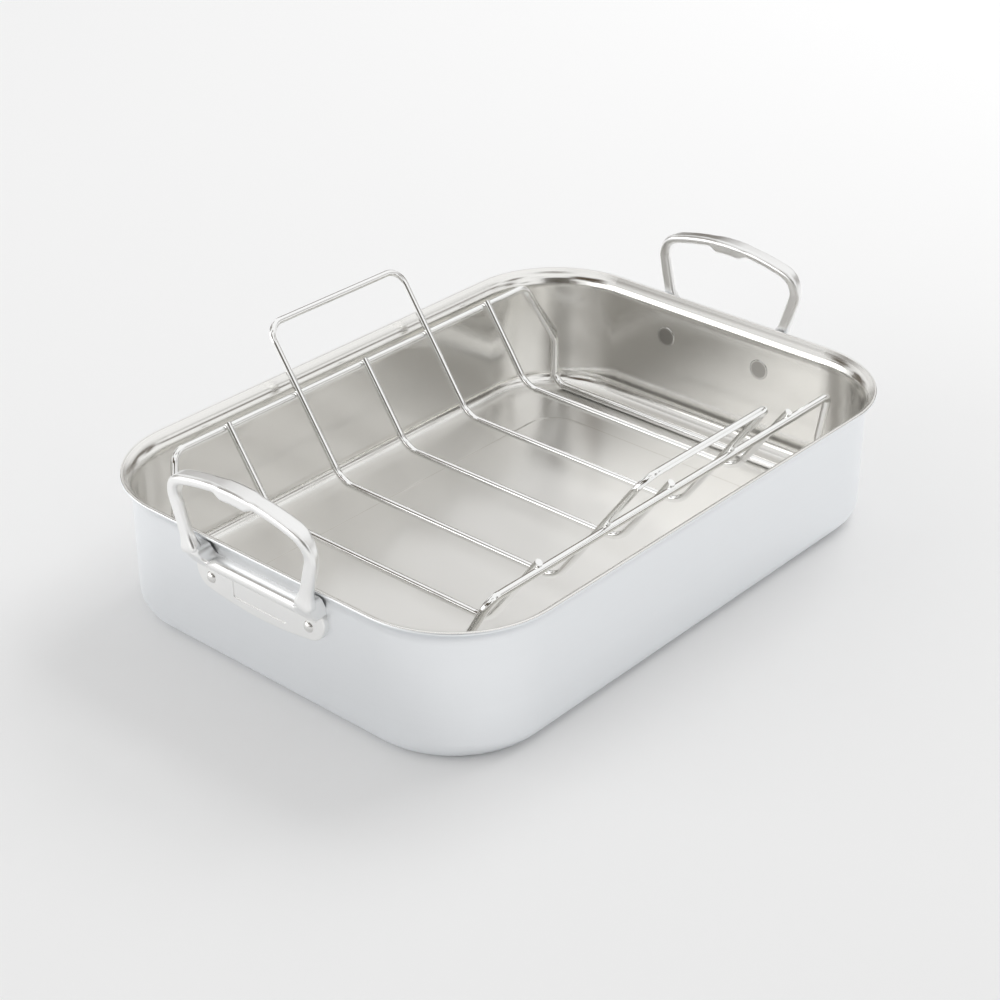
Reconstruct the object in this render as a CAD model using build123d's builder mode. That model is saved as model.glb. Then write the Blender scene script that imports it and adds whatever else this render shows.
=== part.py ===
from build123d import *
from math import cos, radians, sin, tan
import os

# Roasting pan with a lift-out V-shaped wire rack, in millimetres.
# The origin is the middle of the pan's underside: X runs along the long side, Z is up.

os.makedirs("parts", exist_ok=True)

# Pan body: one drawn sheet, measured over the flared rim
pan_length = 420
pan_width = 300
pan_height = 86
sheet = 2.5
wall_corner_radius = 60
floor_edge_radius = 12
rim_flare = 6
flare_radius = 11
flare_angle = 52

# Shallow groove pressed into the floor, a set way in from the walls
groove_end_inset = 53
groove_side_inset = 49
groove_corner_radius = 22
groove_width = 1.6
groove_depth = 0.5

# Rivets: a flush disc inside the pan, a small dome outside on the handle plate
rivet_spacing = 75.4
rivet_drop = 14.3
rivet_disc_diameter = 13.5
rivet_disc_thickness = 1.1
rivet_disc_seat_depth = 0.8
rivet_disc_chamfer = 0.35
rivet_shank_diameter = 5
rivet_dome_diameter = 7
rivet_dome_height = 1.8
rivet_clearance = 0.1

# Handle plate, flat against the short wall, its heights taken down from its top edge
plate_rim_gap = 1.9
plate_length = 99
plate_height = 25.8
plate_top_run = 88
plate_bottom_run = 82
plate_bottom_rise = 3.8
plate_tip_drop = 9.8
plate_thickness = 3.5
plate_corner_radius = 4
plate_edge_round = 1.1
shoulder_thickness = 7.5
shoulder_drop = 9.5
shoulder_height = 5.5
shoulder_radius = 3
shoulder_crest = 3.8

# Shallow plain recess in the plate's face
recess_length = 41
recess_height = 12
recess_drop = 14
recess_corner = 1.5
recess_depth = 0.5

# Ears, one at each end of the plate, that reach under the rim and carry the arch
ear_inner_spacing = 75
ear_outer_spacing = 96
ear_rise = 7.7
ear_heel_rise = 2.5
ear_depth = 12.5
ear_relief = 3
ear_hollow = 5
ear_round = 2
ear_edge_round = 1.4

# Handle arch, leaning slightly out from the wall; its places are on its centre line
arch_lean = 3
arch_rim_clearance = 2
arch_foot_rise = 4.2
arch_foot_spacing = 87
arch_corner_spacing = 110
arch_corner_rise = 46.5
arch_crown_rise = 56.7
arch_corner_radius = 14
arch_round = 2.6
arch_section_count = 40
crown_depth = 10.5
crown_thickness = 6
leg_depth = 5.5
leg_width = 8.5
foot_depth = 6.5
foot_width = 11
foot_length = 5
foot_blend = 6

# Thumb pad, a swelling in the middle of the crown
pad_length = 31
pad_blend = 7
pad_depth = 12
pad_thickness = 8.8
pad_proud = 0.2

# Rack frame: one wire bent into a closed loop that stands inside the pan
rail_end_clearance = 44
rail_side_clearance = 18.5
rack_shift_x = 9.5
rack_shift_y = 10
rack_floor_gap = 0.3
rail_rim_drop = 8.1
frame_wire = 5
knee_drop = 40
knee_inset = 14.5
end_splay = 15.5
slope_angle = 55
frame_corner_radius = 9
knee_radius = 12
foot_radius = 10

# Rack cross wires and lifting wires, welded on top of the rails
cross_wire = 4.5
cross_wire_spacing = 58.2
trough_rise = 25.6
trough_bend_radius = 18
wire_stub = 2.7
weld_depth = 1.2
loop_reach = 45.5
loop_corner_radius = 11

# One overrun serves every cut
cut_overrun = 1

# Places on the pan that follow from the sizes above
wall_half_length = pan_length / 2 - rim_flare
wall_half_width = pan_width / 2 - rim_flare
flare_turn = radians(flare_angle)
rim_tip = (rim_flare - flare_radius * (1 - cos(flare_turn))) / sin(flare_turn)
flare_start = pan_height - sheet / 2 - flare_radius * sin(flare_turn) - rim_tip * cos(flare_turn)
plate_top = flare_start - plate_rim_gap
plate_bottom = plate_top - plate_height
rivet_height = plate_top - rivet_drop
rivet_spots = [(-rivet_spacing / 2, rivet_height), (rivet_spacing / 2, rivet_height)]


# The upright wall's outer face, walked round from the middle of the front side
with BuildLine() as wall_path:
    long_run = 2 * (wall_half_length - wall_corner_radius)
    short_run = 2 * (wall_half_width - wall_corner_radius)
    last = Line((0, -wall_half_width), (-long_run / 2, -wall_half_width))
    for run in (short_run, long_run, short_run, long_run / 2):
        corner = JernArc(last @ 1, last % 1, wall_corner_radius, -90)
        last = Line(corner @ 1, corner @ 1 + (corner % 1) * run)

# Section of the wall: rounded floor edge, upright, flared rim with a round lip
section_plane = Plane(origin=(0, -wall_half_width, 0), x_dir=(0, -1, 0), z_dir=(-1, 0, 0))
with BuildSketch(section_plane) as wall_section:
    with BuildLine():
        floor_edge = CenterArc(
            (-floor_edge_radius, floor_edge_radius), floor_edge_radius - sheet / 2, -90, 90
        )
        upright = Line(floor_edge @ 1, (-sheet / 2, flare_start))
        flare = JernArc(upright @ 1, upright % 1, flare_radius, -flare_angle)
        Line(flare @ 1, flare @ 1 + (flare % 1) * rim_tip)
        offset(amount=sheet / 2, side=Side.BOTH)
    make_face()

with BuildPart() as pan_body:
    sweep(sections=wall_section.sketch, path=wall_path.line)
    with BuildSketch():
        RectangleRounded(
            2 * (wall_half_length - floor_edge_radius),
            2 * (wall_half_width - floor_edge_radius),
            wall_corner_radius - floor_edge_radius,
        )
    extrude(amount=sheet)
    # groove round the middle of the floor
    with BuildSketch(Plane.XY.offset(sheet)):
        RectangleRounded(
            2 * (wall_half_length - groove_end_inset),
            2 * (wall_half_width - groove_side_inset),
            groove_corner_radius,
        )
        offset(amount=-groove_width, mode=Mode.SUBTRACT)
    extrude(amount=-groove_depth, mode=Mode.SUBTRACT)
    # rivet holes through both short walls
    with BuildSketch(Plane.YZ):
        with Locations(*rivet_spots):
            Circle(rivet_shank_diameter / 2 + rivet_clearance)
    extrude(amount=wall_half_length + cut_overrun, both=True, mode=Mode.SUBTRACT)
    # shallow seats for the flush rivet discs, on the inside faces
    with BuildSketch(Plane.YZ):
        with Locations(*rivet_spots):
            Circle(rivet_disc_diameter / 2 + rivet_clearance)
    extrude(
        amount=wall_half_length - sheet + rivet_disc_seat_depth, both=True, mode=Mode.SUBTRACT
    )
pan_body.part.label = "pan_body"
export_step(pan_body.part, "parts/pan_body.step")


# Centre line of the handle's arch, from foot to foot, in a plane that leans out
lean = radians(arch_lean)
arch_reach = (
    rim_flare
    + arch_rim_clearance
    + foot_depth / 2 / cos(lean)
    - (pan_height - plate_top) * tan(lean)
)
arch_plane = Plane(
    origin=(wall_half_length + arch_reach, 0, plate_top),
    x_dir=(0, 1, 0),
    z_dir=(cos(lean), 0, -sin(lean)),
)
with BuildLine(arch_plane) as arch_line:
    leg = Line(
        (-arch_foot_spacing / 2, arch_foot_rise), (-arch_corner_spacing / 2, arch_corner_rise)
    )
    crown = ThreePointArc(
        leg @ 1, (0, arch_crown_rise), (arch_corner_spacing / 2, arch_corner_rise)
    )
    Line(crown @ 1, (arch_foot_spacing / 2, arch_foot_rise))
    fillet(arch_line.vertices(), arch_corner_radius)
arch_wire = arch_line.wire()


def blend(place, start, end):
    """Share from 0 at the start to 1 at the end, that leaves and arrives smoothly."""
    share = min(max((place - start) / (end - start), 0), 1)
    return share**2 * (3 - 2 * share)


# Sections of the arch: a wide flat crown with a swollen middle, deeper than thick,
# that turns through each corner into a slim leg, and spreads again at the foot
half_arch = arch_wire.length / 2
leg_length = arch_wire.edges().sort_by(Axis.Z)[0].length
corner_length = arch_wire.edges().filter_by(GeomType.CIRCLE).sort_by(SortBy.LENGTH)[0].length
corner_end = half_arch - leg_length
corner_start = corner_end - corner_length
foot_top = half_arch - foot_length
pad_edge = pad_length / 2
pad_shift = (pad_thickness - crown_thickness) / 2 - pad_proud
arch_sections = []
for step in range(arch_section_count + 1):
    along_share = step / arch_section_count
    from_middle = abs(2 * along_share - 1) * half_arch
    pad_share = 1 - blend(from_middle, pad_edge - pad_blend, pad_edge)
    leg_share = blend(from_middle, corner_start, corner_end)
    foot_share = blend(from_middle, foot_top - foot_blend, foot_top)
    depth = (
        crown_depth
        + pad_share * (pad_depth - crown_depth)
        + leg_share * (leg_depth - crown_depth)
        + foot_share * (foot_depth - leg_depth)
    )
    width = (
        crown_thickness
        + pad_share * (pad_thickness - crown_thickness)
        + leg_share * (leg_width - crown_thickness)
        + foot_share * (foot_width - leg_width)
    )
    section_at = Plane(
        origin=arch_wire @ along_share, x_dir=arch_plane.z_dir, z_dir=arch_wire % along_share
    )
    with BuildSketch(section_at) as arch_section:
        with Locations((0, pad_share * pad_shift)):
            RectangleRounded(depth, width, arch_round)
    arch_sections.append(arch_section.sketch)

with BuildPart() as arch:
    loft(arch_sections)

# Rolled shoulder along the top of the plate
with BuildPart() as shoulder:
    with BuildSketch(Plane.XZ):
        with BuildLine():
            FilletPolyline(
                (wall_half_length, plate_top - shoulder_drop),
                (wall_half_length + plate_thickness, plate_top - shoulder_drop),
                (wall_half_length + shoulder_thickness, plate_top - shoulder_height),
                (wall_half_length + shoulder_thickness, plate_top),
                (wall_half_length, plate_top),
                radius=[0, 0, shoulder_radius, shoulder_crest, 0],
                close=True,
            )
        make_face()
    extrude(amount=plate_top_run / 2, both=True)

# Ears: seen from the front, each rises out of the shoulder in a hollow curve; seen from
# the side, each stands away from the wall under the flare and out to the arch's foot
with BuildPart() as ears:
    with BuildSketch(Plane.YZ.offset(wall_half_length)) as ear_front:
        with BuildLine():
            hollow = CenterArc(
                (ear_inner_spacing / 2 - ear_hollow, plate_top + ear_hollow), ear_hollow, -90, 90
            )
            Polyline(
                hollow @ 1,
                (ear_inner_spacing / 2, plate_top + ear_rise),
                (ear_outer_spacing / 2, plate_top + ear_rise),
                (ear_outer_spacing / 2, plate_top - shoulder_height),
                (ear_inner_spacing / 2, plate_top - shoulder_height),
                hollow @ 0,
            )
        make_face()
        fillet(ear_front.vertices().sort_by(Axis.Y)[-2:], ear_round)
        mirror(about=Plane.YZ)
    extrude(amount=ear_depth)
    with BuildSketch(Plane.XZ):
        with BuildLine():
            FilletPolyline(
                (wall_half_length, plate_top - shoulder_height),
                (wall_half_length + shoulder_thickness, plate_top - shoulder_height),
                (wall_half_length + ear_depth, plate_top + ear_heel_rise),
                (wall_half_length + ear_depth, plate_top + ear_rise),
                (wall_half_length + ear_relief, plate_top + ear_rise),
                (wall_half_length, plate_top),
                radius=[0, ear_round, ear_round, ear_round, 0, 0],
                close=True,
            )
        make_face()
    extrude(amount=ear_outer_spacing, both=True, mode=Mode.INTERSECT)
    fillet(ears.faces().sort_by(Axis.X)[-2:].edges(), ear_edge_round)

# Cast handle on the right-hand short wall
with BuildPart() as handle_right:
    with BuildSketch(Plane.YZ.offset(wall_half_length)) as plate_outline:
        with BuildLine():
            top = Line((-plate_top_run / 2, plate_top), (plate_top_run / 2, plate_top))
            tip = ThreePointArc(
                top @ 1,
                (plate_length / 2, plate_top - plate_tip_drop),
                (plate_bottom_run / 2, plate_bottom + plate_bottom_rise),
            )
            belly = ThreePointArc(
                tip @ 1, (0, plate_bottom), (-plate_bottom_run / 2, plate_bottom + plate_bottom_rise)
            )
            ThreePointArc(belly @ 1, (-plate_length / 2, plate_top - plate_tip_drop), top @ 0)
        make_face()
        fillet(plate_outline.vertices(), plate_corner_radius)
    extrude(amount=plate_thickness)
    fillet(handle_right.faces().sort_by(Axis.X)[-1].edges(), plate_edge_round)
    # plain recess in the face
    with BuildSketch(Plane.YZ.offset(wall_half_length + plate_thickness)):
        with Locations((0, plate_top - recess_drop)):
            RectangleRounded(recess_length, recess_height, recess_corner)
    extrude(amount=-recess_depth, mode=Mode.SUBTRACT)
    # rivet holes
    with BuildSketch(Plane.YZ.offset(wall_half_length)):
        with Locations(*rivet_spots):
            Circle(rivet_shank_diameter / 2 + rivet_clearance)
    extrude(amount=plate_thickness, mode=Mode.SUBTRACT)
    add(shoulder.part)
    add(ears.part)
    add(arch.part)
handle_right.part.label = "handle_right"
export_step(handle_right.part, "parts/handle_right.step")

# Its twin on the left-hand short wall
with BuildPart() as handle_left:
    add(handle_right.part)
    mirror(about=Plane.YZ, mode=Mode.REPLACE)
handle_left.part.label = "handle_left"
export_step(handle_left.part, "parts/handle_left.step")


# Rivets: a disc in its seat inside, a shank through wall and plate, a dome outside
disc_seat = wall_half_length - sheet + rivet_disc_seat_depth
disc_face = disc_seat - rivet_disc_thickness
dome_seat = wall_half_length + plate_thickness
disc_radius = rivet_disc_diameter / 2
for side_name, side in (("left", -1), ("right", 1)):
    for row_name, row in (("front", -1), ("back", 1)):
        rivet_plane = Plane(
            origin=(0, row * rivet_spacing / 2, rivet_height), x_dir=(side, 0, 0), z_dir=(0, -side, 0)
        )
        with BuildPart() as rivet:
            with BuildSketch(rivet_plane):
                with BuildLine():
                    steps = Polyline(
                        (disc_face, 0),
                        (disc_face, disc_radius - rivet_disc_chamfer),
                        (disc_face + rivet_disc_chamfer, disc_radius),
                        (disc_seat, disc_radius),
                        (disc_seat, rivet_shank_diameter / 2),
                        (dome_seat, rivet_shank_diameter / 2),
                        (dome_seat, rivet_dome_diameter / 2),
                    )
                    dome = TangentArc(
                        (dome_seat + rivet_dome_height, 0), steps @ 1, tangent=(0, 1)
                    )
                    Line(dome @ 0, steps @ 0)
                make_face()
            revolve(axis=Axis(rivet_plane.origin, rivet_plane.x_dir))
        rivet_name = f"rivet_{side_name}_{row_name}"
        rivet.part.label = rivet_name
        export_step(rivet.part, f"parts/{rivet_name}.step")


# The rack's own plane, at the middle height of its lowest wires
foot_height = sheet + rack_floor_gap + frame_wire / 2
rack_plane = Plane(origin=(rack_shift_x, rack_shift_y, foot_height))
slope = radians(slope_angle)
frame_end = wall_half_length - sheet - rail_end_clearance
rail_side = wall_half_width - sheet - rail_side_clearance
rail_rise = pan_height - rail_rim_drop - foot_height
knee_end = frame_end + end_splay
knee_side = rail_side - knee_inset
knee_rise = rail_rise - knee_drop

# Rack frame: two rails joined by two end wires whose low runs are the feet
with BuildPart() as rack_frame:
    with BuildLine(rack_plane) as frame_path:
        FilletPolyline(
            (-frame_end, rail_side, rail_rise),
            (-knee_end, knee_side, knee_rise),
            (-knee_end, knee_side, 0),
            (-knee_end, -knee_side, 0),
            (-knee_end, -knee_side, knee_rise),
            (-frame_end, -rail_side, rail_rise),
            (frame_end, -rail_side, rail_rise),
            (knee_end, -knee_side, knee_rise),
            (knee_end, -knee_side, 0),
            (knee_end, knee_side, 0),
            (knee_end, knee_side, knee_rise),
            (frame_end, rail_side, rail_rise),
            radius=2
            * [
                frame_corner_radius,
                knee_radius,
                foot_radius,
                foot_radius,
                knee_radius,
                frame_corner_radius,
            ],
            close=True,
        )
    frame_wire_path = frame_path.wire()
    with BuildSketch(Plane(origin=frame_wire_path @ 0, z_dir=frame_wire_path % 0)) as frame_round:
        Circle(frame_wire / 2)
    sweep(sections=frame_round.sketch, path=frame_wire_path)
rack_frame.part.label = "rack_frame"
export_step(rack_frame.part, "parts/rack_frame.step")

# Where the cross wires cross the rails, and where they bend into the trough
wire_stack = (frame_wire + cross_wire) / 2 - weld_depth
cross_side = rail_side - wire_stack * sin(slope)
cross_rise = rail_rise + wire_stack * cos(slope)
trough_side = cross_side - (cross_rise - trough_rise) / tan(slope)
stub_side = cross_side + wire_stub * cos(slope)
stub_rise = cross_rise + wire_stub * sin(slope)
loop_side = cross_side + loop_reach * cos(slope)
loop_rise = cross_rise + loop_reach * sin(slope)

# Single cross wires, cut square just past the rails
for wire_name, place in (
    ("left", -2), ("left_centre", -1), ("middle", 0), ("right_centre", 1), ("right", 2)
):
    across = place * cross_wire_spacing
    with BuildPart() as cross_wire_part:
        with BuildLine(rack_plane) as wire_path:
            FilletPolyline(
                (across, stub_side, stub_rise),
                (across, trough_side, trough_rise),
                (across, -trough_side, trough_rise),
                (across, -stub_side, stub_rise),
                radius=trough_bend_radius,
            )
        cross_wire_path = wire_path.wire()
        with BuildSketch(Plane(origin=cross_wire_path @ 0, z_dir=cross_wire_path % 0)) as wire_round:
            Circle(cross_wire / 2)
        sweep(sections=wire_round.sketch, path=cross_wire_path)
    node_name = f"rack_cross_wire_{wire_name}"
    cross_wire_part.part.label = node_name
    export_step(cross_wire_part.part, f"parts/{node_name}.step")

# Lifting handles of the rack, each carrying on two cross wires and joining them
for handle_name, side in (("front", -1), ("back", 1)):
    with BuildPart() as lifting_part:
        with BuildLine(rack_plane) as lifting_path:
            FilletPolyline(
                (-cross_wire_spacing, side * stub_side, stub_rise),
                (-cross_wire_spacing, side * loop_side, loop_rise),
                (cross_wire_spacing, side * loop_side, loop_rise),
                (cross_wire_spacing, side * stub_side, stub_rise),
                radius=loop_corner_radius,
            )
        lifting_wire = lifting_path.wire()
        with BuildSketch(Plane(origin=lifting_wire @ 0, z_dir=lifting_wire % 0)) as lifting_round:
            Circle(cross_wire / 2)
        sweep(sections=lifting_round.sketch, path=lifting_wire)
    node_name = f"rack_lifting_wire_{handle_name}"
    lifting_part.part.label = node_name
    export_step(lifting_part.part, f"parts/{node_name}.step")
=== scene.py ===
from math import radians

import bpy
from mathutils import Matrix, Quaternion, Vector


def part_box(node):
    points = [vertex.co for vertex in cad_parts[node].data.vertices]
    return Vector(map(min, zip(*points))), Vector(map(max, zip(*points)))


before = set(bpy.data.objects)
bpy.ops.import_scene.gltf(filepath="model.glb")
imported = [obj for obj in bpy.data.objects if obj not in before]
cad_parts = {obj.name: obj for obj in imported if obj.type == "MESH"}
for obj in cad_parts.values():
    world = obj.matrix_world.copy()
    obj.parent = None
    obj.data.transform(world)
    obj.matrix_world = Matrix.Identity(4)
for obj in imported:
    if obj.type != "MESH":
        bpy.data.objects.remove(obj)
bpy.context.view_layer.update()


# The pan: one sheet of bonded stainless steel, deep drawn and trimmed, with its flared
# rim rolled and buffed. The outside has a fine satin brush and the inside is polished,
# so one sheet has two finishes, which part along the lip.
def linear(colour):
    """Linear RGBA of an sRGB hex colour."""
    parts = [int(colour[place:place + 2], 16) / 255 for place in (1, 3, 5)]
    return tuple(
        part / 12.92 if part <= 0.04045 else ((part + 0.055) / 1.055) ** 2.4 for part in parts
    ) + (1,)


def add_node(material, kind, settings=None, **inputs):
    """A node of that kind with its settings, each input given a value or a socket."""
    node = material.node_tree.nodes.new(kind)
    for name, value in (settings or {}).items():
        setattr(node, name, value)
    for name, value in inputs.items():
        key = int(name[3:]) if name.startswith("in_") else name.replace("_", " ")
        if isinstance(value, bpy.types.NodeSocket):
            material.node_tree.links.new(value, node.inputs[key])
        else:
            node.inputs[key].default_value = value
    return node


def new_finish(name):
    """An empty material of that name, with its output node."""
    finish = bpy.data.materials.new(name)
    finish.use_nodes = True
    finish.node_tree.nodes.clear()
    output = add_node(finish, "ShaderNodeOutputMaterial")
    return finish, output


def dress(node_name, finish):
    """Give a CAD node that finish in place of its plain one."""
    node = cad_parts[node_name]
    node.data.materials.clear()
    node.data.materials.append(finish)


inside_colour = "#f0efec"
outside_colour = "#eef0f2"
inside_roughness = (0.16, 0.2)
outside_roughness = (0.42, 0.48)
floor_dulling = 0.13
brush_line_spacing = 0.001
brush_depth = 0.0001
noise_low, noise_high = 0.3, 0.7

# Satin and polished stainless: an even pale sheen outside, and inside soft reflections
# that are drawn out up and down, darker and warmer where the walls face each other
pan_steel, pan_output = new_finish("satin_and_polished_stainless_pan")
place = add_node(pan_steel, "ShaderNodeTexCoord")
surface = add_node(pan_steel, "ShaderNodeNewGeometry")

# How far a surface faces outwards or down: above zero on the outside walls and underside
sideways = add_node(
    pan_steel, "ShaderNodeVectorMath", {"operation": "MULTIPLY"},
    in_0=place.outputs["Object"], in_1=(1, 1, 0),
)
outward = add_node(
    pan_steel, "ShaderNodeVectorMath", {"operation": "NORMALIZE"}, in_0=sideways.outputs[0]
)
facing = add_node(
    pan_steel, "ShaderNodeVectorMath", {"operation": "DOT_PRODUCT"},
    in_0=surface.outputs["True Normal"], in_1=outward.outputs[0],
)
turned = add_node(pan_steel, "ShaderNodeSeparateXYZ", Vector=surface.outputs["True Normal"])
outside = add_node(
    pan_steel, "ShaderNodeMath", {"operation": "SUBTRACT"},
    in_0=facing.outputs["Value"], in_1=turned.outputs["Z"],
)
outside_share = add_node(
    pan_steel, "ShaderNodeMapRange", {"interpolation_type": "SMOOTHSTEP"},
    Value=outside.outputs[0], From_Min=-0.05, From_Max=0.25,
)

# Brush lines run round the walls. They are 0.15 mm apart on the steel, too fine to show,
# and are drawn 1 mm apart
brush_place = add_node(
    pan_steel, "ShaderNodeMapping",
    Vector=place.outputs["Object"], Scale=(3, 3, 1 / brush_line_spacing),
)
brush_lines = add_node(
    pan_steel, "ShaderNodeTexNoise", Vector=brush_place.outputs[0], Scale=1.0, Detail=3.0
)
outside_rough = add_node(
    pan_steel, "ShaderNodeMapRange",
    Value=brush_lines.outputs["Fac"], From_Min=noise_low, From_Max=noise_high,
    To_Min=outside_roughness[0], To_Max=outside_roughness[1],
)
inside_rough = add_node(
    pan_steel, "ShaderNodeMapRange",
    Value=brush_lines.outputs["Fac"], From_Min=noise_low, From_Max=noise_high,
    To_Min=inside_roughness[0], To_Max=inside_roughness[1],
)
# The floor is scoured in use and in the wash, so it is duller than the walls
floor_wear = add_node(
    pan_steel, "ShaderNodeMapRange", {"interpolation_type": "SMOOTHSTEP"},
    Value=turned.outputs["Z"], From_Min=0.6, From_Max=0.95, To_Min=0.0, To_Max=floor_dulling,
)
inside_worn = add_node(
    pan_steel, "ShaderNodeMath", {"operation": "ADD"},
    in_0=inside_rough.outputs[0], in_1=floor_wear.outputs[0],
)
roughness = add_node(
    pan_steel, "ShaderNodeMix", {"data_type": "FLOAT"},
    Factor=outside_share.outputs[0], in_2=inside_worn.outputs[0], in_3=outside_rough.outputs[0],
)
colour = add_node(
    pan_steel, "ShaderNodeMix", {"data_type": "RGBA"},
    Factor=outside_share.outputs[0], in_6=linear(inside_colour), in_7=linear(outside_colour),
)
brush_bump = add_node(
    pan_steel, "ShaderNodeBump",
    Height=brush_lines.outputs["Fac"], Strength=0.12, Distance=brush_depth,
)
# Brushed steel spreads what it reflects across the lines, so mostly up and down
along_lines = add_node(
    pan_steel, "ShaderNodeVectorMath", {"operation": "CROSS_PRODUCT"},
    in_0=surface.outputs["True Normal"], in_1=(0, 0, 1),
)
# The level floor has no such line of its own, so it is brushed along X
along_floor = add_node(
    pan_steel, "ShaderNodeVectorMath", {"operation": "ADD"},
    in_0=along_lines.outputs[0], in_1=(0.05, 0, 0),
)
steel = add_node(
    pan_steel, "ShaderNodeBsdfPrincipled",
    Base_Color=colour.outputs[2], Metallic=1.0, Roughness=roughness.outputs[0],
    Normal=brush_bump.outputs[0], Anisotropic=0.65, Tangent=along_floor.outputs[0],
)
pan_steel.node_tree.links.new(steel.outputs[0], pan_output.inputs["Surface"])
dress("pan_body", pan_steel)


# The two side handles: one investment casting each, of stainless steel, tumbled and
# satin finished. The plate under each arch is bare, and two rivets hold it to the wall.
handle_colour = "#f4f4f3"
handle_roughness = (0.28, 0.32)
tumbling_marks_per_metre = 900
tumbling_depth = 0.0001

# Satin cast stainless: soft grey shading with broad highlights. The marks that tumbling
# leaves are about 1.1 mm across
cast_steel, cast_output = new_finish("satin_cast_stainless_handle")
place = add_node(cast_steel, "ShaderNodeTexCoord")
tumble = add_node(
    cast_steel, "ShaderNodeTexNoise",
    Vector=place.outputs["Object"], Scale=tumbling_marks_per_metre, Detail=2.0,
)
cast_rough = add_node(
    cast_steel, "ShaderNodeMapRange",
    Value=tumble.outputs["Fac"], From_Min=noise_low, From_Max=noise_high,
    To_Min=handle_roughness[0], To_Max=handle_roughness[1],
)
cast_bump = add_node(
    cast_steel, "ShaderNodeBump",
    Height=tumble.outputs["Fac"], Strength=0.05, Distance=tumbling_depth,
)
steel = add_node(
    cast_steel, "ShaderNodeBsdfPrincipled",
    Base_Color=linear(handle_colour), Metallic=1.0, Roughness=cast_rough.outputs[0],
    Normal=cast_bump.outputs[0],
)
cast_steel.node_tree.links.new(steel.outputs[0], cast_output.inputs["Surface"])
for name in ("handle_left", "handle_right"):
    dress(name, cast_steel)


# The four rivets: turned stainless steel, set cold through the wall and the handle's
# plate, with a flush disc inside the pan and a small dome on the plate.
# Painted light on the rivets: a darker grey for the disc face as painted shade, and a brighter
# grey for a painted highlight ring near the disc's edge and for the whole dome
painted_shade_disc_colour = "#b4b2af"
painted_highlight_colour = "#dedddb"
highlight_ring_start, highlight_ring_end = 0.78, 0.86
rivet_low, rivet_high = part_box("rivet_right_back")
rivet_middle = (rivet_low + rivet_high) / 2
rivet_radius = (rivet_high - rivet_low).z / 2

# Turned stainless with painted light: the disc face is painted a darker grey as shade, a ring
# near its edge is painted bright as a highlight, and the dome is painted brighter too.
# The pan is symmetrical, so one rivet's place serves all four
rivet_steel, rivet_output = new_finish("turned_stainless_rivet")
place = add_node(rivet_steel, "ShaderNodeTexCoord")
mirrored = add_node(
    rivet_steel, "ShaderNodeVectorMath", {"operation": "ABSOLUTE"}, in_0=place.outputs["Object"]
)
from_axis = add_node(
    rivet_steel, "ShaderNodeVectorMath", {"operation": "SUBTRACT"},
    in_0=mirrored.outputs[0], in_1=rivet_middle,
)
flat = add_node(
    rivet_steel, "ShaderNodeVectorMath", {"operation": "MULTIPLY"},
    in_0=from_axis.outputs[0], in_1=(0, 1, 1),
)
reach = add_node(
    rivet_steel, "ShaderNodeVectorMath", {"operation": "LENGTH"}, in_0=flat.outputs[0]
)
# The ring near the disc's edge where the painted highlight is laid
painted_highlight_ring = add_node(
    rivet_steel, "ShaderNodeMapRange", {"interpolation_type": "SMOOTHSTEP"},
    Value=reach.outputs["Value"],
    From_Min=highlight_ring_start * rivet_radius, From_Max=highlight_ring_end * rivet_radius,
)
side_of_wall = add_node(rivet_steel, "ShaderNodeSeparateXYZ", Vector=from_axis.outputs[0])
outer_end = add_node(
    rivet_steel, "ShaderNodeMath", {"operation": "GREATER_THAN"},
    in_0=side_of_wall.outputs["X"], in_1=0.0,
)
# Painted highlight over the ring and the whole outer dome; the rest of the disc keeps the
# painted shade
painted_highlight_share = add_node(
    rivet_steel, "ShaderNodeMath", {"operation": "MAXIMUM"},
    in_0=painted_highlight_ring.outputs[0], in_1=outer_end.outputs[0],
)
rivet_colour = add_node(
    rivet_steel, "ShaderNodeMix", {"data_type": "RGBA"},
    Factor=painted_highlight_share.outputs[0], in_6=linear(painted_shade_disc_colour), in_7=linear(painted_highlight_colour),
)
steel = add_node(
    rivet_steel, "ShaderNodeBsdfPrincipled",
    Base_Color=rivet_colour.outputs[2], Metallic=1.0, Roughness=0.24,
)
rivet_steel.node_tree.links.new(steel.outputs[0], rivet_output.inputs["Surface"])
for side in ("left", "right"):
    for row in ("front", "back"):
        dress(f"rivet_{side}_{row}", rivet_steel)


# The lift-out rack: drawn stainless wire, bent cold into a frame, cross wires and a
# lifting loop, resistance welded where wires cross, then electropolished.
wire_colour = "#f6f6f5"
wire_roughness = (0.05, 0.08)
ripples_per_metre = 120

# Electropolished stainless: bright lines along each wire with dark ones beside them. The
# ripples that drawing leaves are about 8 mm long
wire_steel, wire_output = new_finish("electropolished_stainless_wire")
place = add_node(wire_steel, "ShaderNodeTexCoord")
ripple = add_node(
    wire_steel, "ShaderNodeTexNoise",
    Vector=place.outputs["Object"], Scale=ripples_per_metre, Detail=2.0,
)
wire_rough = add_node(
    wire_steel, "ShaderNodeMapRange",
    Value=ripple.outputs["Fac"], From_Min=noise_low, From_Max=noise_high,
    To_Min=wire_roughness[0], To_Max=wire_roughness[1],
)
steel = add_node(
    wire_steel, "ShaderNodeBsdfPrincipled",
    Base_Color=linear(wire_colour), Metallic=1.0, Roughness=wire_rough.outputs[0],
)
wire_steel.node_tree.links.new(steel.outputs[0], wire_output.inputs["Surface"])
for name in sorted(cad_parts):
    if name.startswith("rack_"):
        dress(name, wire_steel)


# The studio: a pale floor that runs out of sight, an even pale sky, two soft boxes, a
# grey flag, and the camera at the photograph's angle.
floor_width = 40
bpy.ops.object.select_all(action="DESELECT")
bpy.ops.mesh.primitive_plane_add(size=floor_width)
studio_floor = bpy.context.object
studio_floor.name = "studio_floor"

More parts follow.
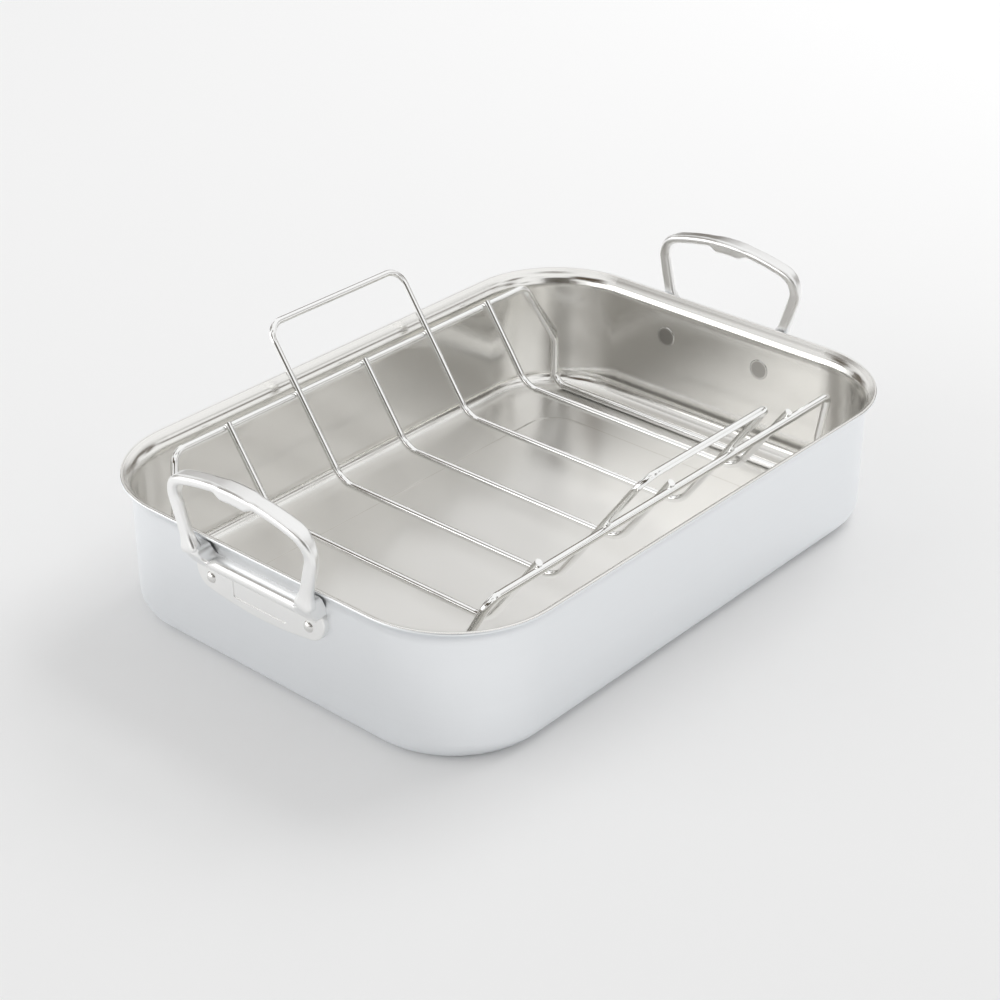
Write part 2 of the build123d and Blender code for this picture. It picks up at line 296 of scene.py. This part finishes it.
# Matt paint, a shade under white for the eye and white for the light that it gives back
floor_paint, floor_output = new_finish("pale_studio_floor")
floor_rays = add_node(floor_paint, "ShaderNodeLightPath")
floor_colour = add_node(
    floor_paint, "ShaderNodeMix", {"data_type": "RGBA"},
    Factor=floor_rays.outputs["Is Camera Ray"], in_6=linear("#ffffff"), in_7=linear("#f2f2f2"),
)
paint = add_node(floor_paint, "ShaderNodeBsdfDiffuse", Color=floor_colour.outputs[2])
floor_paint.node_tree.links.new(paint.outputs[0], floor_output.inputs["Surface"])
studio_floor.data.materials.append(floor_paint)

# The sky: full white where it is seen or reflected, and a lower level as a light
world = bpy.context.scene.world or bpy.data.worlds.new("studio")
bpy.context.scene.world = world
world.use_nodes = True
world.node_tree.nodes.clear()
world_output = add_node(world, "ShaderNodeOutputWorld")
rays = add_node(world, "ShaderNodeLightPath")
seen = add_node(
    world, "ShaderNodeMath", {"operation": "MAXIMUM"},
    in_0=rays.outputs["Is Camera Ray"], in_1=rays.outputs["Is Glossy Ray"],
)
seen_all = add_node(
    world, "ShaderNodeMath", {"operation": "MAXIMUM"},
    in_0=seen.outputs[0], in_1=rays.outputs["Is Transmission Ray"],
)
level = add_node(
    world, "ShaderNodeMapRange", Value=seen_all.outputs[0], To_Min=0.75, To_Max=1.0
)

# What the steel reflects of the studio: white panels with brown gaps between them, and
# one large panel overhead
sky_place = add_node(world, "ShaderNodeTexCoord")
moved_place = add_node(
    world, "ShaderNodeMapping", Vector=sky_place.outputs["Generated"], Location=(5.2, -7.3, -8.5)
)
panels = add_node(
    world, "ShaderNodeTexNoise", Vector=moved_place.outputs[0], Scale=2.8, Detail=1.0
)
panel_share = add_node(
    world, "ShaderNodeMapRange", {"interpolation_type": "SMOOTHSTEP"},
    Value=panels.outputs["Fac"], From_Min=0.4, From_Max=0.5,
)
towards_overhead = add_node(
    world, "ShaderNodeVectorMath", {"operation": "DOT_PRODUCT"},
    in_0=sky_place.outputs["Generated"], in_1=(0.45, 0.1, 0.88),
)
overhead_share = add_node(
    world, "ShaderNodeMapRange", {"interpolation_type": "SMOOTHSTEP"},
    Value=towards_overhead.outputs["Value"], From_Min=0.68, From_Max=0.86,
)
white_share = add_node(
    world, "ShaderNodeMath", {"operation": "MAXIMUM"},
    in_0=panel_share.outputs[0], in_1=overhead_share.outputs[0],
)
reflected = add_node(
    world, "ShaderNodeMix", {"data_type": "RGBA"},
    Factor=white_share.outputs[0], in_6=linear("#463823"), in_7=linear("#ffffff"),
)
sky_colour = add_node(
    world, "ShaderNodeMix", {"data_type": "RGBA"},
    Factor=rays.outputs["Is Glossy Ray"], in_6=linear("#fcfcfc"), in_7=reflected.outputs[2],
)
sky = add_node(
    world, "ShaderNodeBackground", Color=sky_colour.outputs[2], Strength=level.outputs[0]
)
world.node_tree.links.new(sky.outputs[0], world_output.inputs["Surface"])

# A large soft box high on the right, which casts the soft shadow to the left
bpy.ops.object.light_add(type="AREA", location=(2.3, -0.1, 2.1))
soft_box = bpy.context.object
soft_box.name = "soft_box"
soft_box.data.shape = "RECTANGLE"
soft_box.data.size = 2.2
soft_box.data.size_y = 1.8
soft_box.data.energy = 36
soft_box.visible_glossy = False
soft_box.rotation_euler = (-soft_box.location).to_track_quat("-Z", "Y").to_euler()

# A weaker and lower one at the left and behind, for the left-hand short wall
bpy.ops.object.light_add(type="AREA", location=(-1.9, 1.3, 0.6))
fill_box = bpy.context.object
fill_box.name = "fill_box"
fill_box.data.shape = "RECTANGLE"
fill_box.data.size = 2.6
fill_box.data.size_y = 1.0
fill_box.data.energy = 14
fill_box.rotation_euler = (-fill_box.location).to_track_quat("-Z", "Y").to_euler()

# A grey flag near the camera, out of its sight, which only the steel reflects
bpy.ops.object.select_all(action="DESELECT")
bpy.ops.mesh.primitive_plane_add(size=1.8, location=(-1.9, -1.7, 1.0))
grey_flag = bpy.context.object
grey_flag.name = "grey_flag"
grey_flag.rotation_euler = (-grey_flag.location).to_track_quat("Z", "Y").to_euler()
flag_cloth, flag_output = new_finish("grey_flag_cloth")
cloth = add_node(flag_cloth, "ShaderNodeBsdfDiffuse", Color=linear("#5d5952"))
flag_cloth.node_tree.links.new(cloth.outputs[0], flag_output.inputs["Surface"])
grey_flag.data.materials.append(flag_cloth)
grey_flag.visible_camera = False
grey_flag.visible_shadow = False

# The camera, with the small roll of the photograph
bpy.ops.object.camera_add(location=(-0.8773, -0.7547, 0.6898))
camera = bpy.context.object
camera.name = "photo_camera"
camera.data.sensor_width = 36
camera.data.lens = 79.2
camera_target = Vector((0.03899, 0.04314, 0))
towards = camera_target - camera.location
roll = Quaternion((0, 0, 1), radians(0.164))
camera.rotation_euler = (towards.to_track_quat("-Z", "Y") @ roll).to_euler()
bpy.context.scene.camera = camera
bpy.context.scene.view_settings.view_transform = "Standard"
